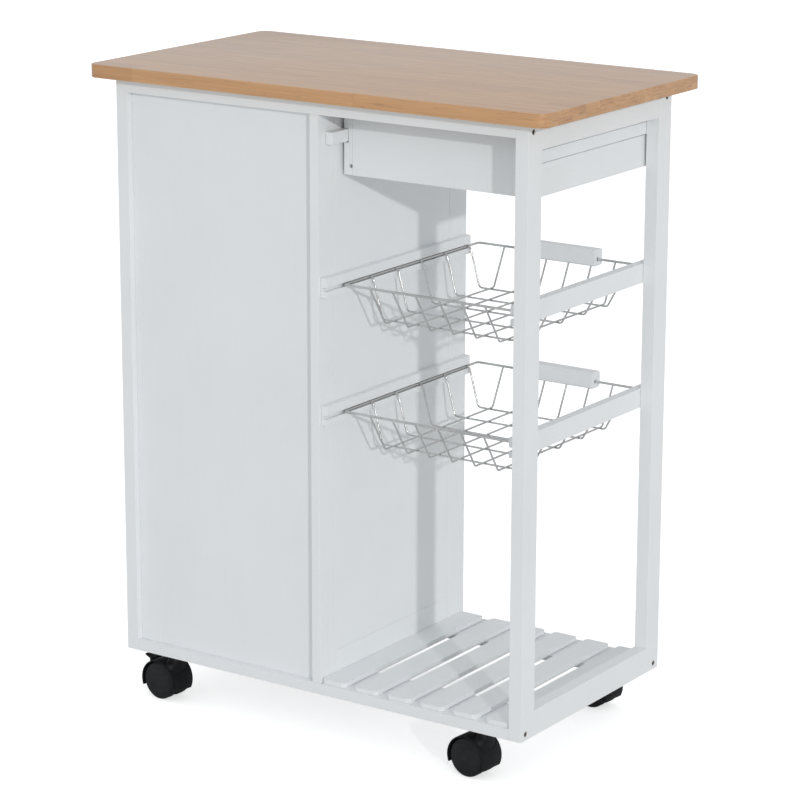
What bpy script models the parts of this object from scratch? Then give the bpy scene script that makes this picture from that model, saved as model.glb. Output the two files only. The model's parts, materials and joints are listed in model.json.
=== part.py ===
"""A rolling kitchen cart: a butcher block slab on a white wooden frame with a cabinet, a drawer,
two wire baskets, a slatted bottom shelf and four twin-wheel casters.

+Z is up and the floor is z = 0. The front, with the drawer's and the door's knobs, faces -Y.
Seen from the front, the open bay is on the left, at -X, and the cabinet on the right, at +X.
Every piece hangs under the empty "cart", and what moves hangs under an empty on its joint's axis.
"""

from math import acos, cos, pi, radians, sin, tan

import bmesh
import bpy
from mathutils import Matrix, Vector

MM = 0.001
GAP = 0.3 * MM  # left between pieces that touch
SEAM = 0.1 * MM  # left between the boards of the painted frame
EDGE = 0.25 * MM  # chamfer along the edges of the wooden pieces
SINK = 0.5 * MM  # how far one shape reaches into the other where they are joined
BORE_CLEARANCE = 0.4 * MM  # around a pin in its bore

# The slab
TOP_LENGTH = 670 * MM
TOP_WIDTH = 367 * MM
TOP_THICKNESS = 17 * MM
TOP_CORNER = 14 * MM
TOP_UNDERSIDE = 814 * MM
TOP_EDGE = 0.9 * MM

# The frame
FRAME_LENGTH = 607 * MM
FRAME_WIDTH = 331 * MM
FRAME_BOTTOM = 62.4 * MM
FRAME_TOP = TOP_UNDERSIDE - GAP
POST_X = 17.5 * MM  # a post's size along the cart
POST_Y = 30 * MM  # and across it
LONG_RAIL_TOP_HEIGHT = 17 * MM
LONG_RAIL_TOP_DEPTH = 18 * MM
LONG_RAIL_BOTTOM_HEIGHT = 14 * MM
LONG_RAIL_BOTTOM_DEPTH = 35.5 * MM
FRONT_RAIL_SETBACK = 2.5 * MM
END_RAIL_HEIGHT = 33 * MM
BOLT_HOLE_RADIUS = 3.5 * MM
BOLT_HOLE_DEPTH = 5 * MM
BOLT_INSET = 11 * MM  # from the post's outer edge
BOLT_HEIGHTS = (70.5 * MM, 804 * MM)

# The cabinet
PARTITION_X = (-6.7 * MM, 5.7 * MM)
PARTITION_FRONT = -162 * MM
JOINT_LINE_WIDTH = 0.8 * MM
JOINT_LINE_DEPTH = 0.5 * MM
FRONT_STILE_LINE = -122 * MM
BACK_STILE_LINE = 131 * MM
LOWER_RAIL_LINE = 111.5 * MM
PANEL_THICKNESS = 5 * MM
PANEL_RECESS = 9 * MM
BOARD_THICKNESS = 12 * MM
SHELF_HEIGHT = 430 * MM
DOOR_THICKNESS = 15 * MM
DOOR_SETBACK = 1 * MM
DOOR_CLEARANCE = 2.3 * MM
HINGE_CLEARANCE = 2.7 * MM  # between the door and its post, where the hinge leaves are
DOOR_PANEL_BORDER = 48 * MM
DOOR_PANEL_RECESS = 3 * MM
HINGE_HEIGHT = 50 * MM
HINGE_LEAF = 0.8 * MM
HINGE_KNUCKLE_RADIUS = 2.5 * MM
HINGE_PIN_RADIUS = 1.2 * MM
HINGE_KNUCKLE_SHARE = 0.32  # of the hinge's height, for each of the frame leaf's two knuckles
HINGE_CENTRES = (150 * MM, 720 * MM)
KNOB_LENGTH = 24 * MM
KNOB_HEAD_RADIUS = 14 * MM
DOOR_KNOB_HEIGHT = 470 * MM
CATCH_HEIGHT = 700 * MM
CATCH_LENGTH = 40 * MM
CATCH_WIDTH = 14 * MM
CATCH_DEPTH = 13.5 * MM
STRIKE_PLATE_INSET = 4 * MM  # from the door's edge
STRIKE_PLATE_WIDTH = 12 * MM
STRIKE_PLATE_THICKNESS = 1.2 * MM

# The slatted shelf
SLAT_COUNT = 6
SLAT_WIDTH = 34.6 * MM
SLAT_PITCH = 48.6 * MM
SLAT_THICKNESS = 6 * MM
SLAT_Y = (-158 * MM, 162 * MM)
SLAT_CORNER = 4.5 * MM
BATTEN_Y = (89 * MM, 129.6 * MM)
BATTEN_THICKNESS = 8 * MM

# The drawer
DRAWER_X = (-283.2 * MM, -11 * MM)
DRAWER_BACK = 117 * MM
DRAWER_Z = (718 * MM, 790 * MM)
DRAWER_BOARD = 12 * MM
DRAWER_FRONT_THICKNESS = 15 * MM
DRAWER_BOTTOM_THICKNESS = 4 * MM
DRAWER_BOTTOM_HEIGHT = 727 * MM
DRAWER_BOTTOM_TONGUE = 4 * MM
RUNNER_Z = (759 * MM, 774 * MM)
RUNNER_WIDTH = 10 * MM
RUNNER_BACK = 150 * MM
RUNNER_CLEARANCE = 0.7 * MM

# The baskets
BASKET_RAIL_FRONT = -160 * MM
BASKET_RAIL_BACKS = {"partition": 161 * MM, "end": 153 * MM}
BASKET_RAIL_WIDTHS = {"partition": 8 * MM, "end": 12 * MM}
BASKET_RAIL_HEIGHT = 24.5 * MM
RAIL_GROOVE_DROP = 2 * MM  # from the rail's middle to the groove's
RAIL_GROOVE_HEIGHT = 5.2 * MM
RAIL_GROOVE_DEPTHS = {"partition": 5 * MM, "end": 7 * MM}
BASKET_RIM_HEIGHTS = {"upper": 582.3 * MM, "lower": 422 * MM}
RIM_X = (-277.7 * MM, -13 * MM)
RIM_Y = (-182 * MM, 123 * MM)
RIM_WIRE_RADIUS = 2 * MM
RIM_CORNER = 4 * MM
CAGE_WIRE_RADIUS = 1.6 * MM
CAGE_X_TOP = (-254 * MM, -18.5 * MM)
CAGE_X_BOTTOM = (-225 * MM, -33 * MM)
CAGE_Y_BOTTOM = (-157 * MM, 90 * MM)
CAGE_DEPTH = 50 * MM
CAGE_BEND = 6 * MM
CROSS_HOOP_DROP = 2.2 * MM  # of the cross hoops below the long ones
LONG_HOOP_COUNT = 6
LONG_HOOP_FIRST_X = -53 * MM
LONG_HOOP_PITCH = 33.2 * MM
CROSS_HOOP_COUNT = 5
CROSS_HOOP_FIRST_Y = 67 * MM
CROSS_HOOP_PITCH = 55.1 * MM
HANDLE_X = (-193 * MM, -80 * MM)
HANDLE_Y = (-193 * MM, -173 * MM)
HANDLE_Z = (-8.5 * MM, 13 * MM)  # from the rim
HANDLE_FRONT_ROUND = 4 * MM
HANDLE_BACK_ROUND = 2 * MM
HANDLE_BACK_WALL = 2.6 * MM  # of wood behind the hoops' slots
RIM_HOLE_RADIUS = 2.6 * MM
HOOP_SLOT_HALF = 2.1 * MM

# The casters
STEM_X = 239.6 * MM
STEM_Y = 146.6 * MM
STEM_RADIUS = 4 * MM
STEM_HOLE_RADIUS = 4.6 * MM
STEM_HOLE_DEPTH = 11 * MM
STEM_TOP = FRAME_BOTTOM + 10.2 * MM
CASTER_TRAIL = 15.3 * MM  # from the stem to the axle
CASTER_YAW = radians(-5.4)
AXLE_HEIGHT = 25 * MM
AXLE_RADIUS = 3 * MM
AXLE_HOLE_RADIUS = 3.6 * MM
WHEEL_STEPS = 20
WHEEL_INNER_FACE = 4 * MM
WHEEL_OUTER_FACE = 18.2 * MM
HOOD_INNER_RADIUS = 26.2 * MM
HOOD_OUTER_RADIUS = 28 * MM
HOOD_HALF_WIDTH = 19 * MM
HOOD_FROM = radians(-22)
HOOD_TO = radians(208)
HOOD_STEPS = 12
WEB_HALF_WIDTH = 3.2 * MM
BOSS_X = (-9 * MM, 8 * MM)
BOSS_HALF_WIDTH = 8 * MM
BOSS_TOP = 61 * MM
LEVER_ANGLE = radians(50)
LEVER_REACH = 30.6 * MM  # from the axle to the lever's pivot
LEVER_BARREL_RADIUS = 2.1 * MM
LEVER_PIN_RADIUS = 1.1 * MM
LEVER_HALF_WIDTH = 6.6 * MM
BARREL_HALF_WIDTH = 6.7 * MM
PIN_HALF_LENGTH = 8.6 * MM
PADDLE_LENGTH = 14 * MM
PADDLE_THICKNESS = 2.2 * MM
PADDLE_RISE = 2.6 * MM
LUG_Y = (7 * MM, 9.6 * MM)
LUG_REACH = 2.6 * MM  # from the pin to the ear's edge

ROUND_SIDES = 12
TURNED_STEPS = 20

HALF_LENGTH = FRAME_LENGTH / 2
HALF_WIDTH = FRAME_WIDTH / 2
POST_INSIDE_X = HALF_LENGTH - POST_X
POST_INSIDE_Y = HALF_WIDTH - POST_Y
BETWEEN_POSTS_X = (-POST_INSIDE_X + SEAM, POST_INSIDE_X - SEAM)
BETWEEN_POSTS_Y = (-POST_INSIDE_Y + SEAM, POST_INSIDE_Y - SEAM)
UNDER_TOP_RAIL = FRAME_TOP - LONG_RAIL_TOP_HEIGHT - SEAM
ON_BOTTOM_RAIL = FRAME_BOTTOM + LONG_RAIL_BOTTOM_HEIGHT + SEAM
BAY_X = (-POST_INSIDE_X + GAP, PARTITION_X[0] - GAP)
CABINET_X = (PARTITION_X[1] + SEAM, POST_INSIDE_X - SEAM)
PANEL_BACK = HALF_WIDTH - PANEL_RECESS
DOOR_X = (PARTITION_X[1] + DOOR_CLEARANCE, POST_INSIDE_X - HINGE_CLEARANCE)
DOOR_FRONT = -HALF_WIDTH + DOOR_SETBACK
DOOR_Z = (ON_BOTTOM_RAIL + DOOR_CLEARANCE, UNDER_TOP_RAIL - DOOR_CLEARANCE)
HINGE_AXIS = (POST_INSIDE_X - HINGE_CLEARANCE / 2, -HALF_WIDTH - HINGE_KNUCKLE_RADIUS - GAP)
WHEEL_RADIUS = AXLE_HEIGHT / cos(pi / WHEEL_STEPS)  # so that the wheel's flats touch the floor


# Shapes


def shape(bm):
    """A new object holding a bmesh, with its faces pointing out."""
    bmesh.ops.recalc_face_normals(bm, faces=bm.faces)
    mesh = bpy.data.meshes.new("shape")
    bm.to_mesh(mesh)
    bm.free()
    made = bpy.data.objects.new("shape", mesh)
    bpy.context.scene.collection.objects.link(made)
    return made


def block(x, y, z, chamfer=EDGE):
    """A block between the low and high ends x, y and z."""
    bm = bmesh.new()
    size = Vector((x[1] - x[0], y[1] - y[0], z[1] - z[0]))
    centre = Vector((sum(x), sum(y), sum(z))) / 2
    bmesh.ops.create_cube(bm, size=1, matrix=Matrix.Translation(centre) @ Matrix.Diagonal((*size, 1)))
    if chamfer:
        bmesh.ops.bevel(bm, geom=bm.edges[:], offset=chamfer, segments=1, affect="EDGES")
    return shape(bm)


def across(axis, point, along):
    """A point of the plane across an axis, and how far along the axis it is, as x, y, z."""
    a, b = point
    return {"X": (along, a, b), "Y": (a, along, b), "Z": (a, b, along)}[axis]


def prism(outline, axis, ends, chamfer=0):
    """An outline in the plane across the axis, drawn out from one end to the other."""
    bm = bmesh.new()
    start = [bm.verts.new(across(axis, point, ends[0])) for point in outline]
    face = bm.faces.new(start)
    drawn = bmesh.ops.extrude_face_region(bm, geom=[face])["geom"]
    moved = [item for item in drawn if isinstance(item, bmesh.types.BMVert)]
    bmesh.ops.translate(bm, verts=moved, vec=across(axis, (0, 0), ends[1] - ends[0]))
    if chamfer:
        bmesh.ops.bevel(bm, geom=bm.edges[:], offset=chamfer, segments=1, affect="EDGES")
    return shape(bm)


def arc(centre, radius, start, end, steps):
    """Points along an arc, both ends included."""
    turns = [start + (end - start) * i / steps for i in range(steps + 1)]
    return [(centre[0] + radius * cos(t), centre[1] + radius * sin(t)) for t in turns]


def circle(centre, radius, sides=ROUND_SIDES):
    """A ring of points, with flats at its left, right, top and bottom when the sides divide by 4."""
    turns = [2 * pi * (i + 0.5) / sides for i in range(sides)]
    return [(centre[0] + radius * cos(t), centre[1] + radius * sin(t)) for t in turns]


def rounded_rectangle(a, b, radius, steps):
    """A rectangle between the ends a and b with four round corners, as an outline."""
    corners = ((a[1], b[1]), (a[0], b[1]), (a[0], b[0]), (a[1], b[0]))
    points = []
    for i, (u, v) in enumerate(corners):
        centre = (u - radius if u == a[1] else u + radius, v - radius if v == b[1] else v + radius)
        points += arc(centre, radius, i * pi / 2, (i + 1) * pi / 2, steps)
    return points


def turned(profile, axis, steps=TURNED_STEPS):
    """A profile of (radius, distance along the axis) turned about the axis. A radius of 0 closes an end."""
    bm = bmesh.new()
    rings = []
    for radius, along in profile:
        count = steps if radius else 1
        rings.append([bm.verts.new(across(axis, p, along)) for p in circle((0, 0), radius, count)])
    for low, high in zip(rings, rings[1:]):
        for i in range(steps):
            below = [low[i % len(low)], low[(i + 1) % len(low)]]
            above = [high[(i + 1) % len(high)], high[i % len(high)]]
            bm.faces.new(dict.fromkeys(below + above))
    return shape(bm)


def bent(corners, radius, steps, closed=False):
    """The corners of a wire's path with a bend of the given radius at each, in a plane."""
    points = []
    for i, corner in enumerate(corners):
        if not closed and i in (0, len(corners) - 1):
            points.append(corner)
            continue
        before = (corners[i - 1] - corner).normalized()
        after = (corners[(i + 1) % len(corners)] - corner).normalized()
        half = before.angle(after) / 2
        centre = corner + (before + after).normalized() * radius / sin(half)
        start = corner + before * radius / tan(half) - centre
        end = corner + after * radius / tan(half) - centre
        points += [centre + start.slerp(end, s / steps).normalized() * radius for s in range(steps + 1)]
    return points


def wire(path, normal, radius, sides, closed=False):
    """A wire along a flat path whose plane has the given normal."""
    bm = bmesh.new()
    rings = []
    for i, point in enumerate(path):
        before = (point - path[i - 1]).normalized() if i or closed else None
        after = (path[(i + 1) % len(path)] - point).normalized() if i < len(path) - 1 or closed else None
        along = ((before or after) + (after or before)).normalized()
        side = along.cross(normal)
        stretch = 1 / along.dot(after or before)
        ring = [normal * v + side * u * stretch for u, v in circle((0, 0), radius, sides)]
        rings.append([bm.verts.new(point + offset) for offset in ring])
    pairs = list(zip(rings, rings[1:]))
    if closed:
        pairs.append((rings[-1], rings[0]))
    else:
        bm.faces.new(rings[0])
        bm.faces.new(rings[-1])
    for low, high in pairs:
        for i in range(sides):
            j = (i + 1) % sides
            bm.faces.new((low[i], low[j], high[j], high[i]))
    return shape(bm)


def combined(base, others, operation):
    """The base with the others joined to it or cut from it; the others are used up."""
    for other in others:
        step = base.modifiers.new(other.name, "BOOLEAN")
        step.operation = operation
        step.object = other
    graph = bpy.context.evaluated_depsgraph_get()
    result = bpy.data.meshes.new_from_object(base.evaluated_get(graph))
    base.modifiers.clear()
    base.data = result
    for other in others:
        bpy.data.objects.remove(other)
    return base


def joined(base, *others):
    return combined(base, others, "UNION")


def cut(base, *others):
    return combined(base, others, "DIFFERENCE")


# Materials and placing


def material(name, colour, roughness, metallic=0.0):
    made = bpy.data.materials.new(name)
    made.use_nodes = True
    shader = made.node_tree.nodes["Principled BSDF"]
    shader.inputs["Base Color"].default_value = (*colour, 1)
    shader.inputs["Roughness"].default_value = roughness
    shader.inputs["Metallic"].default_value = metallic
    made.diffuse_color = (*colour, 1)
    return made


def make_materials():
    return {
        "butcher_block": material("butcher_block", (0.55, 0.33, 0.18), 0.45),
        "white_paint": material("white_paint", (0.86, 0.87, 0.88), 0.5),
        "panel_paint": material("panel_paint", (0.855, 0.87, 0.89), 0.55),
        "chrome": material("chrome", (0.68, 0.68, 0.68), 0.18, 1.0),
        "steel": material("steel", (0.45, 0.45, 0.46), 0.35, 1.0),
        "black_plastic": material("black_plastic", (0.01, 0.01, 0.011), 0.42),
        "tread": material("tread", (0.011, 0.011, 0.011), 0.6),
    }


def empty(name, parent=None, location=(0, 0, 0), yaw=0.0):
    made = bpy.data.objects.new(name, None)
    made.empty_display_size = 20 * MM
    made.parent = parent
    made.location = location
    made.rotation_euler.z = yaw
    bpy.context.scene.collection.objects.link(made)
    return made


def place(made, name, finish, parent, at=(0, 0, 0)):
    """Name a piece, give it its material, and hang it under its parent with its origin at a point.
    The piece was drawn in its parent's coordinates, and stays where it was drawn."""
    made.name = made.data.name = name
    made.data.materials.clear()
    made.data.materials.append(finish)
    made.data.transform(Matrix.Translation(-Vector(at)))
    made.data.shade_smooth()
    made.data.set_sharp_from_angle(angle=radians(35))
    made.parent = parent
    made.location = at
    return made


def place_from(made, name, finish, pivot, at=None):
    """Place a piece that was drawn in the cart's coordinates under a pivot that stands in the cart."""
    made.data.transform(Matrix.Translation(-pivot.location))
    centre = Vector(at) - pivot.location if at else Vector()
    return place(made, name, finish, pivot, centre)


def middle(*ends):
    return tuple(sum(pair) / 2 for pair in ends)


def board(name, x, y, z, finish, cart, chamfer=EDGE):
    """A plain board of the fixed frame, with its origin at its middle."""
    return place(block(x, y, z, chamfer), name, finish, cart, middle(x, y, z))


def mirrored(ends):
    return (-ends[1], -ends[0])


# The fixed frame


def make_top(paints, cart):
    outline = rounded_rectangle(
        (-TOP_LENGTH / 2, TOP_LENGTH / 2), (-TOP_WIDTH / 2, TOP_WIDTH / 2), TOP_CORNER, steps=5
    )
    slab = prism(outline, "Z", (TOP_UNDERSIDE, TOP_UNDERSIDE + TOP_THICKNESS), TOP_EDGE)
    place(slab, "tabletop", paints["butcher_block"], cart, (0, 0, TOP_UNDERSIDE))


def make_posts(paints, cart):
    """Four corner posts, each with a bolt hole near its top and its foot in the outer end face."""
    for end, end_name in ((-1, "bay"), (1, "cabinet")):
        for side, side_name in ((-1, "front"), (1, "back")):
            x = sorted((end * POST_INSIDE_X, end * HALF_LENGTH))
            y = sorted((side * POST_INSIDE_Y, side * HALF_WIDTH))
            hole_y = side * (HALF_WIDTH - BOLT_INSET)
            hole_x = sorted((end * (HALF_LENGTH - BOLT_HOLE_DEPTH), end * (HALF_LENGTH + SINK)))
            holes = [prism(circle((hole_y, z), BOLT_HOLE_RADIUS), "X", hole_x) for z in BOLT_HEIGHTS]
            post = cut(block(x, y, (FRAME_BOTTOM, FRAME_TOP)), *holes)
            foot = (*middle(x, y), FRAME_BOTTOM)
            place(post, f"post_{side_name}_{end_name}", paints["white_paint"], cart, foot)


def make_top_rails(paints, cart):
    z = (FRAME_TOP - LONG_RAIL_TOP_HEIGHT, FRAME_TOP)
    back = (HALF_WIDTH - LONG_RAIL_TOP_DEPTH, HALF_WIDTH)
    board("top_rail_back", BETWEEN_POSTS_X, back, z, paints["white_paint"], cart)
    board("top_rail_front", BETWEEN_POSTS_X, mirrored(back), z, paints["white_paint"], cart)
    z = (FRAME_TOP - END_RAIL_HEIGHT, FRAME_TOP)
    cabinet = (POST_INSIDE_X, HALF_LENGTH)
    board("top_rail_cabinet_end", cabinet, BETWEEN_POSTS_Y, z, paints["white_paint"], cart)
    board("top_rail_bay_end", mirrored(cabinet), BETWEEN_POSTS_Y, z, paints["white_paint"], cart)


def make_bottom_rails(paints, cart):
    """The long rails carry the casters' stems in blind holes."""
    z = (FRAME_BOTTOM, FRAME_BOTTOM + LONG_RAIL_BOTTOM_HEIGHT)
    hole_z = (FRAME_BOTTOM - SINK, FRAME_BOTTOM + STEM_HOLE_DEPTH)
    back = (HALF_WIDTH - LONG_RAIL_BOTTOM_DEPTH, HALF_WIDTH)
    front = (-HALF_WIDTH + FRONT_RAIL_SETBACK, -back[0])
    for name, y, side in (("back", back, 1), ("front", front, -1)):
        stems = [(x, side * STEM_Y) for x in (-STEM_X, STEM_X)]
        holes = [prism(circle(stem, STEM_HOLE_RADIUS), "Z", hole_z) for stem in stems]
        rail = cut(block(BETWEEN_POSTS_X, y, z), *holes)
        place(rail, f"bottom_rail_{name}", paints["white_paint"], cart, middle(BETWEEN_POSTS_X, y, z))
    z = (FRAME_BOTTOM, FRAME_BOTTOM + END_RAIL_HEIGHT)
    cabinet = (POST_INSIDE_X, HALF_LENGTH)
    board("bottom_rail_cabinet_end", cabinet, BETWEEN_POSTS_Y, z, paints["white_paint"], cart)
    board("bottom_rail_bay_end", mirrored(cabinet), BETWEEN_POSTS_Y, z, paints["white_paint"], cart)


def make_partition(paints, cart):
    """The wall between bay and cabinet, with the lines of its stiles and lower rail towards the bay."""
    z = (ON_BOTTOM_RAIL, UNDER_TOP_RAIL)
    y = (PARTITION_FRONT, HALF_WIDTH)
    groove_x = (PARTITION_X[0] - SINK, PARTITION_X[0] + JOINT_LINE_DEPTH)
    half = JOINT_LINE_WIDTH / 2
    beyond = (z[0] - SINK, z[1] + SINK)
    lines = [
        block(groove_x, (line - half, line + half), beyond, chamfer=0)
        for line in (FRONT_STILE_LINE, BACK_STILE_LINE)
    ]
    rail_line = (LOWER_RAIL_LINE - half, LOWER_RAIL_LINE + half)
    lines.append(block(groove_x, (FRONT_STILE_LINE, BACK_STILE_LINE), rail_line, chamfer=0))
    wall = cut(block(PARTITION_X, y, z), *lines)
    place(wall, "partition", paints["white_paint"], cart, middle(PARTITION_X, y, z))


def make_cabinet(paints, cart):
    panel_y = (PANEL_BACK - PANEL_THICKNESS, PANEL_BACK)
    panel_z = (ON_BOTTOM_RAIL, UNDER_TOP_RAIL)
    board("back_panel", CABINET_X, panel_y, panel_z, paints["panel_paint"], cart, chamfer=0)
    outside = HALF_LENGTH - PANEL_RECESS
    panel_x = (outside - PANEL_THICKNESS, outside)
    panel_z = (FRAME_BOTTOM + END_RAIL_HEIGHT + SEAM, FRAME_TOP - END_RAIL_HEIGHT - SEAM)
    board("side_panel", panel_x, BETWEEN_POSTS_Y, panel_z, paints["panel_paint"], cart, chamfer=0)
    floor_y = (DOOR_FRONT + DOOR_THICKNESS + DOOR_CLEARANCE, panel_y[0] - GAP)
    floor_z = (ON_BOTTOM_RAIL, ON_BOTTOM_RAIL + BOARD_THICKNESS)
    board("cabinet_floor", CABINET_X, floor_y, floor_z, paints["white_paint"], cart)
    shelf_x = (CABINET_X[0], panel_x[0] - GAP)
    shelf_z = (SHELF_HEIGHT, SHELF_HEIGHT + BOARD_THICKNESS)
    board("cabinet_shelf", shelf_x, BETWEEN_POSTS_Y, shelf_z, paints["white_paint"], cart)


def make_slats(paints, cart):
    """Six slats with round corners, laid across the long bottom rails and two battens."""
    z = (ON_BOTTOM_RAIL, ON_BOTTOM_RAIL + SLAT_THICKNESS)
    for i in range(SLAT_COUNT):
        right = BAY_X[1] - i * SLAT_PITCH
        x = (right - SLAT_WIDTH, right)
        slat = prism(rounded_rectangle(x, SLAT_Y, SLAT_CORNER, steps=2), "Z", z)
        place(slat, f"slat_{i + 1}", paints["white_paint"], cart, middle(x, SLAT_Y, z))
    z = (ON_BOTTOM_RAIL - SEAM - BATTEN_THICKNESS, ON_BOTTOM_RAIL - SEAM)
    board("batten_back", BETWEEN_POSTS_X, BATTEN_Y, z, paints["white_paint"], cart)
    board("batten_front", BETWEEN_POSTS_X, mirrored(BATTEN_Y), z, paints["white_paint"], cart)


def make_rails(paints, cart):
    """The drawer's two runners, and the four grooved rails that carry the baskets."""
    y = (DOOR_FRONT + DRAWER_FRONT_THICKNESS + GAP, RUNNER_BACK)
    for name, x in (
        ("partition", (BAY_X[1] - RUNNER_WIDTH, BAY_X[1])),
        ("end", (BAY_X[0], BAY_X[0] + RUNNER_WIDTH)),
    ):
        board(f"drawer_runner_{name}", x, y, RUNNER_Z, paints["white_paint"], cart)
    for level, rim in BASKET_RIM_HEIGHTS.items():
        for name, wall, inwards in (("partition", BAY_X[1], -1), ("end", BAY_X[0], 1)):
            rail = grooved_rail(name, wall, inwards, rim)
            at = (wall, BASKET_RAIL_FRONT, rim)
            place(rail, f"basket_rail_{level}_{name}", paints["white_paint"], cart, at)


def grooved_rail(name, wall, inwards, rim):
    """A rail against a wall, with a groove for the basket's rim along its inner face."""
    face = wall + inwards * BASKET_RAIL_WIDTHS[name]
    floor = face - inwards * RAIL_GROOVE_DEPTHS[name]
    low = rim + RAIL_GROOVE_DROP - BASKET_RAIL_HEIGHT / 2
    high = rim + RAIL_GROOVE_DROP + BASKET_RAIL_HEIGHT / 2
    groove = RAIL_GROOVE_HEIGHT / 2
    outline = [
        (wall, low), (face, low), (face, rim - groove), (floor, rim - groove),
        (floor, rim + groove), (face, rim + groove), (face, high), (wall, high),
    ]
    return prism(outline, "Y", (BASKET_RAIL_FRONT, BASKET_RAIL_BACKS[name]), chamfer=EDGE / 2)


# The door


def make_knob(name, x, z, front, pivot, paints):
    """A turned knob on a face that looks towards -Y."""
    head = KNOB_HEAD_RADIUS
    profile = [
        (0, 0), (0.55 * head, 0), (0.40 * head, 0.25 * KNOB_LENGTH), (0.42 * head, 0.40 * KNOB_LENGTH),
        (0.92 * head, 0.55 * KNOB_LENGTH), (head, 0.72 * KNOB_LENGTH), (0.86 * head, 0.90 * KNOB_LENGTH),
        (0.45 * head, KNOB_LENGTH), (0, KNOB_LENGTH),
    ]
    knob = turned([(radius, -along) for radius, along in profile], "Y")
    knob.data.transform(Matrix.Translation((x, front - GAP, z)))
    place_from(knob, name, paints["steel"], pivot, (x, front - GAP, z))


def frame_leaf(z):
    """The hinge leaf on the post, with two knuckles and the pin."""
    axis_x, axis_y = HINGE_AXIS
    x = (POST_INSIDE_X - GAP - HINGE_LEAF, POST_INSIDE_X - GAP)
    knuckle = HINGE_KNUCKLE_SHARE * HINGE_HEIGHT
    leaf = block(x, (-HALF_WIDTH, DOOR_FRONT + DOOR_THICKNESS - EDGE), z, chamfer=0)
    parts = [prism(circle((axis_x, axis_y), HINGE_PIN_RADIUS, 8), "Z", (z[0] + MM, z[1] - MM))]
    for ends in ((z[0], z[0] + knuckle), (z[1] - knuckle, z[1])):
        parts.append(block(x, (axis_y, -HALF_WIDTH + SINK), ends, chamfer=0))
        parts.append(prism(circle((axis_x, axis_y), HINGE_KNUCKLE_RADIUS), "Z", ends))
    return joined(leaf, *parts)


def door_leaf(z):
    """The hinge leaf on the door's edge, with the middle knuckle."""
    axis_x, axis_y = HINGE_AXIS
    x = (DOOR_X[1] + GAP, DOOR_X[1] + GAP + HINGE_LEAF)
    knuckle = HINGE_KNUCKLE_SHARE * HINGE_HEIGHT + GAP
    ends = (z[0] + knuckle, z[1] - knuckle)
    leaf = block(x, (-HALF_WIDTH + GAP, DOOR_FRONT + DOOR_THICKNESS - EDGE), z, chamfer=0)
    tab = block(x, (axis_y, -HALF_WIDTH + GAP + SINK), ends, chamfer=0)
    barrel = prism(circle((axis_x, axis_y), HINGE_KNUCKLE_RADIUS), "Z", ends)
    bore = prism(circle((axis_x, axis_y), HINGE_PIN_RADIUS + BORE_CLEARANCE, 8), "Z", (z[0], z[1]))
    return cut(joined(leaf, tab, barrel), bore)


def make_door(paints, cart):
    """A framed door on two butt hinges, with a knob, and a magnetic catch behind it."""
    pivot = empty("door_pivot", cart, (*HINGE_AXIS, middle(DOOR_Z)[0]))
    y = (DOOR_FRONT, DOOR_FRONT + DOOR_THICKNESS)
    inner_x = (DOOR_X[0] + DOOR_PANEL_BORDER, DOOR_X[1] - DOOR_PANEL_BORDER)
    inner_z = (DOOR_Z[0] + DOOR_PANEL_BORDER, DOOR_Z[1] - DOOR_PANEL_BORDER)
    recess = block(inner_x, (y[0] - SINK, y[0] + DOOR_PANEL_RECESS), inner_z, chamfer=0)
    door = cut(block(DOOR_X, y, DOOR_Z), recess)
    place_from(door, "door", paints["white_paint"], pivot)
    for name, centre in zip(("lower", "upper"), HINGE_CENTRES):
        z = (centre - HINGE_HEIGHT / 2, centre + HINGE_HEIGHT / 2)
        at = (*HINGE_AXIS, centre)
        place(frame_leaf(z), f"hinge_{name}_frame_leaf", paints["steel"], cart, at)
        place_from(door_leaf(z), f"hinge_{name}_door_leaf", paints["steel"], pivot, at)
    make_knob("door_knob", DOOR_X[0] + DOOR_PANEL_BORDER / 2, DOOR_KNOB_HEIGHT, y[0], pivot, paints)
    make_catch(y[1], pivot, paints, cart)


def make_catch(door_back, pivot, paints, cart):
    """A magnet block on the partition, and the steel plate on the door that it holds."""
    plate_x = (DOOR_X[0] + STRIKE_PLATE_INSET, DOOR_X[0] + STRIKE_PLATE_INSET + STRIKE_PLATE_WIDTH)
    plate_back = door_back + GAP + STRIKE_PLATE_THICKNESS
    z = (CATCH_HEIGHT, CATCH_HEIGHT + CATCH_LENGTH)
    plate = block(plate_x, (door_back + GAP, plate_back), z, chamfer=0)
    plate_at = (*middle(plate_x), door_back, *middle(z))
    place_from(plate, "door_strike_plate", paints["steel"], pivot, plate_at)
    magnet_x = (CABINET_X[0], CABINET_X[0] + CATCH_WIDTH)
    magnet_y = (plate_back + BORE_CLEARANCE, plate_back + CATCH_DEPTH)
    magnet = block(magnet_x, magnet_y, z)
    place(magnet, "door_catch", paints["black_plastic"], cart, middle(magnet_x, magnet_y, z))


# The drawer


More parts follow.
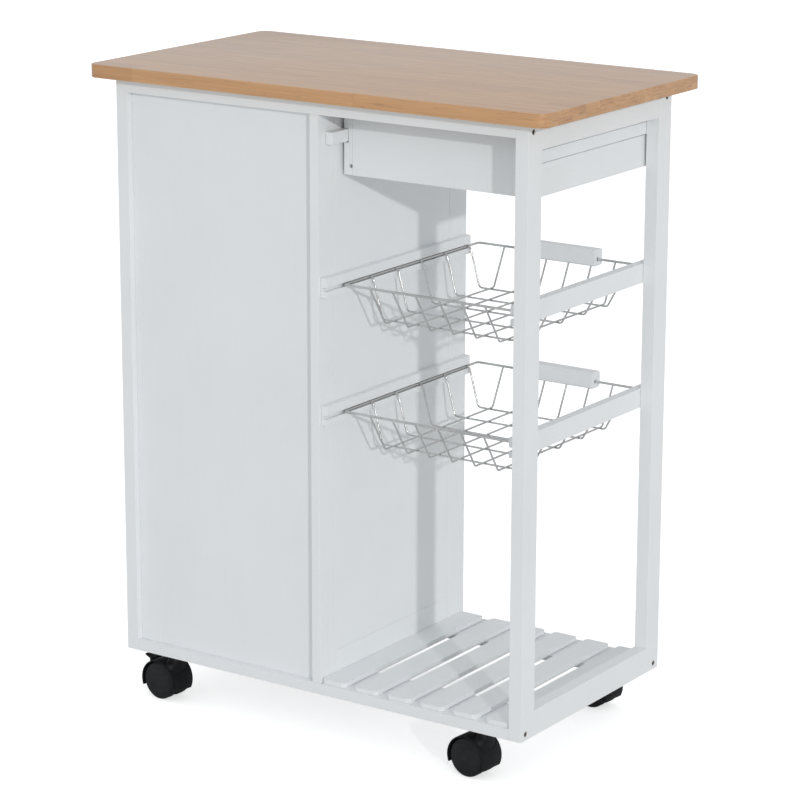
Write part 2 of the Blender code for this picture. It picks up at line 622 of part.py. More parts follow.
def drawer_side(outer, inwards):
    """A drawer side with a wide groove outside for its runner and a narrow one inside for the bottom."""
    inner = outer + inwards * DRAWER_BOARD
    runner = BAY_X[1] - RUNNER_WIDTH if inwards < 0 else BAY_X[0] + RUNNER_WIDTH
    groove = runner + inwards * RUNNER_CLEARANCE
    low, high = RUNNER_Z[0] - 2 * RUNNER_CLEARANCE, RUNNER_Z[1] + RUNNER_CLEARANCE
    slot = inner - inwards * (DRAWER_BOTTOM_TONGUE + GAP)
    slot_low = DRAWER_BOTTOM_HEIGHT - GAP
    slot_high = DRAWER_BOTTOM_HEIGHT + DRAWER_BOTTOM_THICKNESS + GAP
    bottom, top = DRAWER_Z
    outline = [
        (outer, bottom), (inner, bottom), (inner, slot_low), (slot, slot_low),
        (slot, slot_high), (inner, slot_high), (inner, top), (outer, top),
        (outer, high), (groove, high), (groove, low), (outer, low),
    ]
    return prism(outline, "Y", (DOOR_FRONT + DRAWER_FRONT_THICKNESS + GAP, DRAWER_BACK))


def make_drawer(paints, cart):
    """A drawer of five boards that hangs on its two runners."""
    pivot = empty("drawer_pivot", cart, (middle(DRAWER_X)[0], 0, middle(RUNNER_Z)[0]))
    white = paints["white_paint"]
    back_of_front = DOOR_FRONT + DRAWER_FRONT_THICKNESS
    front_x = (BAY_X[0] + DOOR_CLEARANCE, BAY_X[1] - DOOR_CLEARANCE)
    front_z = (DRAWER_Z[0], UNDER_TOP_RAIL - DOOR_CLEARANCE / 2)
    front = block(front_x, (DOOR_FRONT, back_of_front), front_z)
    place_from(front, "drawer_front", white, pivot)
    place_from(drawer_side(DRAWER_X[0], 1), "drawer_side_end", white, pivot)
    place_from(drawer_side(DRAWER_X[1], -1), "drawer_side_partition", white, pivot)
    inside_x = (DRAWER_X[0] + DRAWER_BOARD + GAP, DRAWER_X[1] - DRAWER_BOARD - GAP)
    bottom_z = (DRAWER_BOTTOM_HEIGHT, DRAWER_BOTTOM_HEIGHT + DRAWER_BOTTOM_THICKNESS)
    back = drawer_back(inside_x, bottom_z)
    place_from(back, "drawer_back", white, pivot)
    bottom_x = (inside_x[0] - DRAWER_BOTTOM_TONGUE, inside_x[1] + DRAWER_BOTTOM_TONGUE)
    bottom_y = (back_of_front + GAP, DRAWER_BACK - DRAWER_BOARD + DRAWER_BOTTOM_TONGUE)
    bottom = block(bottom_x, bottom_y, bottom_z, chamfer=0)
    place_from(bottom, "drawer_bottom", paints["panel_paint"], pivot)
    make_knob("drawer_knob", middle(front_x)[0], middle(DRAWER_Z)[0], DOOR_FRONT, pivot, paints)


def drawer_back(x, bottom_z):
    """The drawer's back board, with the groove that holds the bottom."""
    inner, outer = DRAWER_BACK - DRAWER_BOARD, DRAWER_BACK
    slot = inner + DRAWER_BOTTOM_TONGUE + GAP
    outline = [
        (inner, DRAWER_Z[0]), (outer, DRAWER_Z[0]), (outer, DRAWER_Z[1]), (inner, DRAWER_Z[1]),
        (inner, bottom_z[1] + GAP), (slot, bottom_z[1] + GAP),
        (slot, bottom_z[0] - GAP), (inner, bottom_z[0] - GAP),
    ]
    return prism(outline, "X", x)


# The baskets


def basket_wires(rim):
    """A basket's hoops, long ones along Y and cross ones along X welded under them, and a tie wire."""
    wires = []
    long_z = rim - CAGE_DEPTH
    cross_z = long_z - CROSS_HOOP_DROP
    for i in range(LONG_HOOP_COUNT):
        x = LONG_HOOP_FIRST_X - i * LONG_HOOP_PITCH
        corners = [(RIM_Y[0], rim), (CAGE_Y_BOTTOM[0], long_z), (CAGE_Y_BOTTOM[1], long_z), (RIM_Y[1], rim)]
        path = bent([Vector((x, y, z)) for y, z in corners], CAGE_BEND, steps=1)
        wires.append(wire(path, Vector((1, 0, 0)), CAGE_WIRE_RADIUS, sides=4))
    for i in range(CROSS_HOOP_COUNT):
        y = CROSS_HOOP_FIRST_Y - i * CROSS_HOOP_PITCH
        corners = [
            (CAGE_X_TOP[0], rim), (CAGE_X_BOTTOM[0], cross_z), (CAGE_X_BOTTOM[1], cross_z),
            (CAGE_X_TOP[1], rim), (RIM_X[1], rim),
        ]
        path = bent([Vector((x, y, z)) for x, z in corners], CAGE_BEND, steps=1)
        wires.append(wire(path, Vector((0, 1, 0)), CAGE_WIRE_RADIUS, sides=4))
    tie = [Vector((CAGE_X_TOP[0], y, rim)) for y in RIM_Y]
    wires.append(wire(tie, Vector((0, 0, 1)), CAGE_WIRE_RADIUS, sides=4))
    return wires


def make_basket(level, rim, paints, cart):
    """A wire basket whose rim slides in its rails' grooves, with a wooden bar on its front rim."""
    pivot = empty(f"basket_{level}_pivot", cart, (middle(RIM_X)[0], 0, rim))
    corners = [(RIM_X[1], RIM_Y[1]), (RIM_X[0], RIM_Y[1]), (RIM_X[0], RIM_Y[0]), (RIM_X[1], RIM_Y[0])]
    path = bent([Vector((x, y, rim)) for x, y in corners], RIM_CORNER, steps=2, closed=True)
    ring = wire(path, Vector((0, 0, 1)), RIM_WIRE_RADIUS, sides=8, closed=True)
    place_from(joined(ring, *basket_wires(rim)), f"basket_{level}", paints["chrome"], pivot)
    z = (rim + HANDLE_Z[0], rim + HANDLE_Z[1])
    hole = prism(circle((RIM_Y[0], rim), RIM_HOLE_RADIUS, 8), "X", (HANDLE_X[0] - MM, HANDLE_X[1] + MM))
    bar = cut(prism(handle_outline(z), "X", HANDLE_X), hole, *hoop_slots(rim))
    place_from(bar, f"basket_{level}_handle", paints["white_paint"], pivot)


def hoop_slots(rim):
    """Slots in the bar's underside for the long hoops that run up into it to the rim."""
    y = (RIM_Y[0] - RIM_HOLE_RADIUS, HANDLE_Y[1] - HANDLE_BACK_WALL)
    z = (rim + HANDLE_Z[0] - SINK, rim + RIM_HOLE_RADIUS)
    middles = [LONG_HOOP_FIRST_X - i * LONG_HOOP_PITCH for i in range(LONG_HOOP_COUNT)]
    return [
        block((x - HOOP_SLOT_HALF, x + HOOP_SLOT_HALF), y, z, chamfer=0)
        for x in middles
        if HANDLE_X[0] < x < HANDLE_X[1]
    ]


def handle_outline(z):
    """The end of the handle bar: a block with a well rounded front."""
    front, back = HANDLE_FRONT_ROUND, HANDLE_BACK_ROUND
    low, high = z
    return [
        *arc((HANDLE_Y[1] - back, high - back), back, 0, pi / 2, 1),
        *arc((HANDLE_Y[0] + front, high - front), front, pi / 2, pi, 4),
        *arc((HANDLE_Y[0] + front, low + front), front, pi, 3 * pi / 2, 4),
        *arc((HANDLE_Y[1] - back, low + back), back, 3 * pi / 2, 2 * pi, 1),
    ]


# The casters


def caster_body(braked):
    """A hood over both wheels, a web between them, a boss and a stem, drawn about the stem's axis."""
    axle = (CASTER_TRAIL, AXLE_HEIGHT)
    outer = arc(axle, HOOD_OUTER_RADIUS, HOOD_FROM, HOOD_TO, HOOD_STEPS)
    inner = arc(axle, HOOD_INNER_RADIUS, HOOD_TO, HOOD_FROM, HOOD_STEPS)
    hood = prism(outer + inner, "Y", (-HOOD_HALF_WIDTH, HOOD_HALF_WIDTH))
    web_radius = (HOOD_INNER_RADIUS + HOOD_OUTER_RADIUS) / 2
    web_side = arc(axle, web_radius, HOOD_FROM, HOOD_TO, HOOD_STEPS)
    web = prism(web_side, "Y", (-WEB_HALF_WIDTH, WEB_HALF_WIDTH))
    boss_side = standing_on_hood(BOSS_X, BOSS_TOP, axle, web_radius)
    boss = prism(boss_side, "Y", (-BOSS_HALF_WIDTH, BOSS_HALF_WIDTH))
    stem = prism(circle((0, 0), STEM_RADIUS, 8), "Z", (BOSS_TOP - SINK, STEM_TOP))
    lugs = [brake_lug(side, axle, web_radius) for side in (-1, 1)] if braked else []
    body = joined(hood, web, boss, stem, *lugs)
    holes = [(axle, AXLE_HOLE_RADIUS, WEB_HALF_WIDTH + SINK)]
    if braked:
        holes.append((lever_pivot(), LEVER_PIN_RADIUS + BORE_CLEARANCE, LUG_Y[1] + SINK))
    cutters = [prism(circle(at, radius, 8), "Y", (-half, half)) for at, radius, half in holes]
    return cut(body, *cutters)


def standing_on_hood(x, top, axle, radius):
    """The side view of something that stands on the hood between two x, its foot following the curve."""
    start, end = (acos((edge - axle[0]) / radius) for edge in (x[1], x[0]))
    foot = arc(axle, radius, start, end, steps=2)
    return [*foot, (x[0], top), (x[1], top)]


def lever_pivot():
    return (
        CASTER_TRAIL + LEVER_REACH * cos(LEVER_ANGLE),
        AXLE_HEIGHT + LEVER_REACH * sin(LEVER_ANGLE),
    )


def brake_lug(side, axle, radius):
    """One of the two ears on the hood that hold the brake lever's pin."""
    x, z = lever_pivot()
    outline = standing_on_hood((x - LUG_REACH, x + LUG_REACH), z + LUG_REACH, axle, radius)
    return prism(outline, "Y", sorted((side * LUG_Y[0], side * LUG_Y[1])))


def brake_lever():
    """A paddle with an upturned tip, on a barrel with a pin at each end, drawn about its pivot."""
    tip, thick, rise = PADDLE_LENGTH, PADDLE_THICKNESS, PADDLE_RISE
    side = [
        (0, -thick / 2), (0.6 * tip, 0), (tip, rise),
        (0.94 * tip, rise + thick), (0.55 * tip, 1.1 * thick), (0, thick / 2),
    ]
    paddle = prism(side, "Y", (-LEVER_HALF_WIDTH, LEVER_HALF_WIDTH))
    barrel = prism(circle((0, 0), LEVER_BARREL_RADIUS, 8), "Y", (-BARREL_HALF_WIDTH, BARREL_HALF_WIDTH))
    pin = prism(circle((0, 0), LEVER_PIN_RADIUS, 8), "Y", (-PIN_HALF_LENGTH, PIN_HALF_LENGTH))
    return joined(barrel, paddle, pin)


def wheel_pair():
    """Two wheels on one axle as a single turning piece, drawn about the axle."""
    half = [
        (0, WHEEL_OUTER_FACE + 0.5 * MM), (0.90 * WHEEL_RADIUS, WHEEL_OUTER_FACE),
        (WHEEL_RADIUS, WHEEL_OUTER_FACE - 2 * MM), (WHEEL_RADIUS, WHEEL_INNER_FACE + 1 * MM),
        (0.95 * WHEEL_RADIUS, WHEEL_INNER_FACE), (AXLE_RADIUS, WHEEL_INNER_FACE),
    ]
    mirrored_half = [(radius, -along) for radius, along in reversed(half)]
    return turned(half + mirrored_half, "Y", WHEEL_STEPS)


def make_casters(paints, cart):
    """Four casters that turn about their stems; the two at the cabinet end have brakes."""
    for end, end_name in ((-1, "bay"), (1, "cabinet")):
        for side, side_name in ((-1, "front"), (1, "back")):
            name = f"caster_{side_name}_{end_name}"
            pivot = empty(f"{name}_pivot", cart, (end * STEM_X, side * STEM_Y, 0), CASTER_YAW)
            place(caster_body(braked=end > 0), f"{name}_housing", paints["black_plastic"], pivot)
            wheels = place(wheel_pair(), f"{name}_wheels", paints["tread"], pivot)
            wheels.location = (CASTER_TRAIL, 0, AXLE_HEIGHT)
            if end > 0:
                x, z = lever_pivot()
                lever = place(brake_lever(), f"{name}_brake_lever", paints["black_plastic"], pivot)
                lever.location = (x, 0, z)


def clear_scene():
    for old in list(bpy.data.objects):
        bpy.data.objects.remove(old)


def main():
    clear_scene()
    paints = make_materials()
    front, back = HANDLE_Y[0], TOP_WIDTH / 2
    cart = empty("cart", location=(0, -(front + back) / 2, 0))
    make_top(paints, cart)
    make_posts(paints, cart)
    make_top_rails(paints, cart)
    make_bottom_rails(paints, cart)
    make_partition(paints, cart)
    make_cabinet(paints, cart)
    make_slats(paints, cart)
    make_rails(paints, cart)
    make_door(paints, cart)
    make_drawer(paints, cart)
    for level, rim in BASKET_RIM_HEIGHTS.items():
        make_basket(level, rim, paints, cart)
    make_casters(paints, cart)


main()
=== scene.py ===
"""The looks of a rolling kitchen cart with a butcher block top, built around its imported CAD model."""

import json
from math import cos, pi, radians, sin, sqrt, tan

import bmesh
import bpy
from mathutils import Matrix, Vector


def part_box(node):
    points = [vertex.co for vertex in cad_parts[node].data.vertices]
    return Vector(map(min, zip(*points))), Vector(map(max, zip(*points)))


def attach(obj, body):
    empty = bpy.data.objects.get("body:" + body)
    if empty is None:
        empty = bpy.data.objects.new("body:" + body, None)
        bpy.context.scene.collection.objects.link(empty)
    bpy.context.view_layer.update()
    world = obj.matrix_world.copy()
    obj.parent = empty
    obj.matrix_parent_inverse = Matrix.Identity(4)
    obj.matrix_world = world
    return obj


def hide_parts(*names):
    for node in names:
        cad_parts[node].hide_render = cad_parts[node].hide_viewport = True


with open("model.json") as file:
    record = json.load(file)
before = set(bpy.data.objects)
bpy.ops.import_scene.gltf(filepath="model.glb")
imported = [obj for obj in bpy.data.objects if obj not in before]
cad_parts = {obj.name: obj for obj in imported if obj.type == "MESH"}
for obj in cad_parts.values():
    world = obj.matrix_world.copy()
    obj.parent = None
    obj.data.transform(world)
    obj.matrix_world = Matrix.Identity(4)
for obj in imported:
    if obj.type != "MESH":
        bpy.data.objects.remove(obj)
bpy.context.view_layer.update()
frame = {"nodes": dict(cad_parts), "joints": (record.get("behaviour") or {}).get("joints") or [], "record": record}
NODES = frame["nodes"]
JOINTS = {joint["name"]: joint for joint in frame["joints"]}

MM = 0.001
ROUND = 64  # steps round a turned piece

# How the wires of a basket stand from its rim, as in the CAD
RIM_SOLID_RADIUS = 2.0 * MM
RIM_RADIUS = 1.6 * MM
RIM_ABOVE_HANDLE_FOOT = 8.5 * MM
HOOP_RADIUS = 1.25 * MM
RIM_CORNER = 4 * MM
CAGE_TOP_INSET = (23.7 * MM, 5.5 * MM)  # from the rim's end side and its partition side
CAGE_BOTTOM_INSET = (52.7 * MM, 20 * MM)
CAGE_FRONT_INSET = 25 * MM
CAGE_BACK_INSET = 33 * MM
CAGE_DEPTH = 50 * MM
CROSS_HOOP_DROP = 2.1 * MM
CAGE_BEND = 6 * MM
CROSS_HOOP_BEND = CAGE_BEND * 0.9
BEND_STEPS = 6
LONG_HOOPS = [(40 + 33.2 * i) * MM for i in range(6)]  # from the rim's partition side
CROSS_HOOPS = [(56 + 55.1 * i) * MM for i in range(5)]  # from the rim's back

# Casters, about the stem's axis
AXLE_HEIGHT = 25 * MM
HOOD_RADII = (26.2 * MM, 28 * MM)
HOOD_MIDDLE = sum(HOOD_RADII) / 2
HOOD_ANGLES = (radians(-22), radians(208))
HOOD_HALF_WIDTH = 19 * MM
WEB_HALF_WIDTH = 3.2 * MM
BOSS_TOP = 61 * MM
LUG_Y = (7 * MM, 9.6 * MM)
LUG_REACH = 2.6 * MM
LEVER_HALF_WIDTH = 6.6 * MM
STEM_RADIUS = 4 * MM
WASHER_RADIUS = 6.2 * MM

# The slab, and the staves that it is glued from
SLAB_CORNER = 14 * MM
SLAB_EDGE = 1.1 * MM
STAVE_WIDTH = 31 * MM
STAVE_LENGTH = 335 * MM
STAVE_LAYERS_FROM = 814.5 * MM  # two layers of staves show on the slab's edges
STAVE_LAYER = 8.7 * MM
STAVES_FROM = -0.4  # where the rows of staves are counted from, in front of the slab
GLUE_LINE = 0.7 * MM

# How round the edges of the CAD pieces are in the render
PAINTED_EDGE = 0.15 * MM
MOULDED_EDGE = 0.3 * MM
WELD_DISTANCE = 0.005 * MM

# Bolts, from the ends of a post and its outer edge
BOLT_FROM_BOTTOM = 8.1 * MM
BOLT_FROM_TOP = 9.7 * MM
BOLT_INSET = 11 * MM
BOLT_RADIUS = 3.3 * MM
BOLT_SUNK = 1.4 * MM

# Hinge screws, from the door's front face and about a leaf's middle
SCREW_RADIUS = 2.0 * MM
SCREW_SPACING = 15 * MM
OUTER_SCREW_INSET = 8 * MM
MIDDLE_SCREW_INSET = 10.5 * MM
LEAF_FACE_GAP = 1.1 * MM  # from a leaf's inner face to its board

# Plugs and pins in the cabinet
PLUGS_FROM_BOTTOM = (37 * MM, 352 * MM)
PLUG_FROM_TOP = 30 * MM
PLUG_FROM_FRONT = 42 * MM
SHELF_PIN_INSET = 30 * MM
SHELF_PIN_DROP = 2.6 * MM

# Camera and light
CAMERA_AT = (-2.13081648, 3.10812273, 1.40476632)
CAMERA_TURN = (75.1665938, -0.1355446, -145.6642640)
CAMERA_LENS = 137.936
SENSOR_WIDTH = 36.0
CLIP = (0.1, 200)
KEY_FROM = Vector((-1.0, 0.772, 0.35))
KEY_STRENGTH = 0.87
KEY_ANGLE = radians(1.5)
KEY_COLOUR = (1.0, 0.995, 0.985)
FILL_COLOUR = (0.975, 0.99, 1.0, 1)
FILL_STRENGTH = 0.67
FILL_FROM_BACK = 0.04  # added from behind the cart, and taken off in front of it
BACKDROP = 1.05  # seen by the camera only
FLOOR_GLOW = 0.58
FLOOR_BOUNCE = 0.8
FLOOR_SIZE = 30
FLOOR_DROP = 0.2 * MM


# Shapes


def arc(centre, radius, start, end, steps):
    """Points on a circle in a plane, from one angle to another."""
    angles = [start + (end - start) * i / steps for i in range(steps + 1)]
    return [(centre[0] + radius * cos(a), centre[1] + radius * sin(a)) for a in angles]


def circle(radius, steps):
    """Evenly spaced points all round a circle about the origin."""
    return arc((0, 0), radius, 0, 2 * pi * (1 - 1 / steps), steps - 1)


def in_space(points, axis, along):
    """Flat points at a place along the axis that they are seen along."""
    place = "XYZ".index(axis)
    return [Vector((*point[:place], along, *point[place:])) for point in points]


def loft(bm, rings, ends=True):
    """A skin over rings with as many points each, closed at both ends unless it runs round."""
    rows = [[bm.verts.new(p) for p in ring] for ring in rings]
    count = len(rows[0])
    pairs = list(zip(rows, rows[1:])) + ([] if ends else [(rows[-1], rows[0])])
    for low, high in pairs:
        for i in range(count):
            j = (i + 1) % count
            bm.faces.new((low[i], low[j], high[j], high[i]))
    if ends:
        bm.faces.new(rows[0][::-1])
        bm.faces.new(rows[-1])


def prism(bm, outline, axis, along):
    loft(bm, [in_space(outline, axis, place) for place in along])


def lathe(bm, profile, axis, steps=ROUND, at=(0, 0, 0)):
    """A turned shape: the profile is (radius, along), and ends with a small flat at each end."""
    loft(bm, [
        [p + Vector(at) for p in in_space(circle(radius, steps), axis, along)]
        for radius, along in profile
    ])


def smooth_profile(points, steps=4):
    """A smooth line through profile points (Catmull-Rom)."""
    pts = [points[0], *points, points[-1]]
    line = []
    for a, b, c, d in zip(pts, pts[1:], pts[2:], pts[3:]):
        for i in range(steps):
            t = i / steps
            line.append(tuple(
                0.5 * (2 * q + (r - p) * t + (2 * p - 5 * q + 4 * r - s) * t * t
                       + (3 * q - p - 3 * r + s) * t**3)
                for p, q, r, s in zip(a, b, c, d)
            ))
    return [*line, points[-1]]


def rounded_path(corners, radius, steps, closed=False):
    """A path with its corners bent round."""
    count = len(corners)
    path = []
    for i, corner in enumerate(corners):
        if not closed and i in (0, count - 1):
            path.append(corner)
            continue
        to_last = (corners[i - 1] - corner).normalized()
        to_next = (corners[(i + 1) % count] - corner).normalized()
        half = to_last.angle(to_next) / 2
        reach = radius / tan(half)
        centre = corner + (to_last + to_next).normalized() * radius / sin(half)
        first, last = corner + to_last * reach - centre, corner + to_next * reach - centre
        path += [centre + first.lerp(last, k / steps).normalized() * radius for k in range(steps + 1)]
    return path


def wire(bm, path, radius, up, sides=12, closed=False):
    """A round wire along a flat path; up stands square to the path's plane."""
    count = len(path)
    rings = []
    for i, point in enumerate(path):
        before = path[i - 1] if closed or i else point
        after = path[(i + 1) % count] if closed or i < count - 1 else point
        ahead = (after - before).normalized()
        side = ahead.cross(up).normalized()
        turns = [2 * pi * k / sides for k in range(sides)]
        bend = 1.0
        if 0 < i < count - 1 or closed:
            bend = 1 / max(0.7, cos((point - before).angle(after - point) / 2))
        rings.append([point + side * (radius * bend * cos(t)) + up * (radius * sin(t)) for t in turns])
    loft(bm, rings, ends=not closed)


def soften_edges(bm, width, segments=2, angle=32):
    """Rounds every sharp edge of a new shape."""
    bmesh.ops.recalc_face_normals(bm, faces=bm.faces[:])
    sharp = [e for e in bm.edges if len(e.link_faces) == 2 and e.calc_face_angle(0) > radians(angle)]
    bmesh.ops.bevel(
        bm, geom=sharp, offset=width, segments=segments, profile=0.5, affect="EDGES", clamp_overlap=True,
    )


def piece(name, bm, material, body, matrix=None, replaces=(), angle=35):
    """A finished mesh as a piece that rides on a CAD body."""
    bmesh.ops.recalc_face_normals(bm, faces=bm.faces[:])
    mesh = bpy.data.meshes.new(name)
    bm.to_mesh(mesh)
    bm.free()
    mesh.polygons.foreach_set("use_smooth", [True] * len(mesh.polygons))
    mesh.set_sharp_from_angle(angle=radians(angle))
    mesh.materials.append(material)
    if matrix is not None:
        mesh.transform(matrix)
    shape = bpy.data.objects.new(name, mesh)
    bpy.context.scene.collection.objects.link(shape)
    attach(shape, body)
    if replaces:
        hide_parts(*replaces)
    return shape


# Materials


class Shader:
    """A material's nodes, added one at a time."""

    def __init__(self, name):
        self.material = bpy.data.materials.new(name)
        self.material.use_nodes = True
        self.tree = self.material.node_tree
        self.tree.nodes.clear()
        self.place = self.add("ShaderNodeTexCoord", {}, "Object")

    def add(self, kind, inputs, output=0, **settings):
        """A node with its sockets set or linked; returns one of its outputs."""
        node = self.tree.nodes.new(kind)
        for key, value in settings.items():
            setattr(node, key, value)
        for key, value in inputs.items():
            if isinstance(value, bpy.types.NodeSocket):
                self.tree.links.new(value, node.inputs[key])
            else:
                node.inputs[key].default_value = value
        return node.outputs[output] if node.outputs else None

    def math(self, operation, a, b=0.0):
        return self.add("ShaderNodeMath", {0: a, 1: b}, operation=operation)

    def scaled(self, scale, vector=None):
        place = vector or self.place
        return self.add("ShaderNodeVectorMath", {0: place, 1: scale}, operation="MULTIPLY")

    def moved(self, vector, offset):
        return self.add("ShaderNodeVectorMath", {0: vector, 1: offset}, operation="ADD")

    def noise(self, vector, scale=1.0, detail=2.0, rough=0.5):
        return self.add(
            "ShaderNodeTexNoise",
            {"Vector": vector, "Scale": scale, "Detail": detail, "Roughness": rough}, "Fac",
        )

    def spread(self, value, low, high, to_low=0.0, to_high=1.0):
        return self.add(
            "ShaderNodeMapRange",
            {"Value": value, "From Min": low, "From Max": high, "To Min": to_low, "To Max": to_high},
        )

    def mixed(self, factor, a, b):
        """Mixes two colours; 0, 6 and 7 are the node's colour sockets."""
        return self.add("ShaderNodeMix", {0: factor, 6: a, 7: b}, 2, data_type="RGBA")

    def ramp(self, factor, stops):
        node = self.tree.nodes.new("ShaderNodeValToRGB")
        elements = node.color_ramp.elements
        while len(elements) < len(stops):
            elements.new(0.5)
        for element, (place, colour) in zip(elements, stops):
            element.position, element.color = place, (*colour, 1)
        self.tree.links.new(factor, node.inputs[0])
        return node.outputs[0]

    def edges(self, radius):
        """0 on flat faces, rising along outer and inner edges."""
        rounded = self.add("ShaderNodeBevel", {"Radius": radius}, samples=4)
        flat = self.add("ShaderNodeNewGeometry", {}, "Normal")
        along = self.add("ShaderNodeVectorMath", {0: rounded, 1: flat}, "Value", operation="DOT_PRODUCT")
        return self.spread(along, 0.995, 0.80)

    def crevices(self, reach):
        """1 in the open, less where other faces come close."""
        return self.add("ShaderNodeAmbientOcclusion", {"Distance": reach}, "AO", samples=4)

    def bump(self, height, strength, distance):
        return self.add("ShaderNodeBump", {"Height": height, "Strength": strength, "Distance": distance})

    def finish(self, inputs):
        surface = self.add("ShaderNodeBsdfPrincipled", inputs, "BSDF")
        self.add("ShaderNodeOutputMaterial", {"Surface": surface})
        return self.material


# Colours that the materials mix in
# painted shade, mixed into the white paint where other faces come close
CREVICE_SHADE = (0.60, 0.585, 0.56, 1)
WORN_PAINT = (0.84, 0.835, 0.82, 1)
STAVE_TONES = [
    (0.0, (0.47, 0.215, 0.078)), (0.25, (0.565, 0.280, 0.106)),
    (0.6, (0.645, 0.343, 0.140)), (1.0, (0.73, 0.42, 0.19)),
]
DARK_FIBRE = (0.35, 0.165, 0.066, 1)
DARK_STREAK = (0.26, 0.115, 0.042, 1)
GLUE = (0.27, 0.135, 0.055, 1)
WORN_WOOD = (0.72, 0.50, 0.30, 1)
BARE_WOOD = (0.86, 0.78, 0.68, 1)
DUST = (0.075, 0.075, 0.078, 1)
# painted highlight along the edges of black plastic
EDGE_HIGHLIGHT = (0.045, 0.045, 0.046, 1)


def painted_wood(name, colour, along, dull=0.40, brushed=0.22):
    """White satin paint over wood: brush lines along the board, orange peel, slightly worn edges, and painted
    shade in its crevices.
    """
    s = Shader(name)
    stretch = [9.0 if axis == along else 420.0 for axis in "XYZ"]
    brush = s.noise(s.scaled(stretch), 1.0, 3.0, 0.6)
    peel = s.noise(s.place, 900.0, 1.0)
    patches = s.noise(s.place, 6.0, 3.0, 0.55)
    value = s.math("ADD", s.math("MULTIPLY", brush, 0.22), s.math("MULTIPLY", patches, 0.78))
    base = s.ramp(s.spread(value, 0.32, 0.68), [
        (0.0, [c * k for c, k in zip(colour, (0.970, 0.970, 0.966))]),
        (0.55, colour),
        (1.0, [min(1, c * 1.015) for c in colour]),
    ])
    # painted shade: the paint is darkened towards a grey where other faces come close, in corners and crevices
    crevice_shade = s.spread(s.crevices(9 * MM), 0.25, 0.85, 0.05, 0.0)
    base = s.mixed(crevice_shade, base, CREVICE_SHADE)
    wear = s.math("MULTIPLY", s.edges(0.9 * MM), s.spread(s.noise(s.place, 55.0, 4.0, 0.7), 0.40, 0.62))
    base = s.mixed(s.math("MULTIPLY", wear, 0.30), base, WORN_PAINT)
    patchy = s.spread(patches, 0.3, 0.7, dull - 0.04, dull + 0.06)
    rough = s.math("ADD", patchy, s.math("MULTIPLY", peel, 0.05))
    height = s.math("ADD", s.math("MULTIPLY", brush, 0.8), s.math("MULTIPLY", peel, 0.3))
    return s.finish({
        "Base Color": base, "Roughness": rough, "IOR": 1.47,
        "Normal": s.bump(height, brushed, 0.05 * MM),
    })


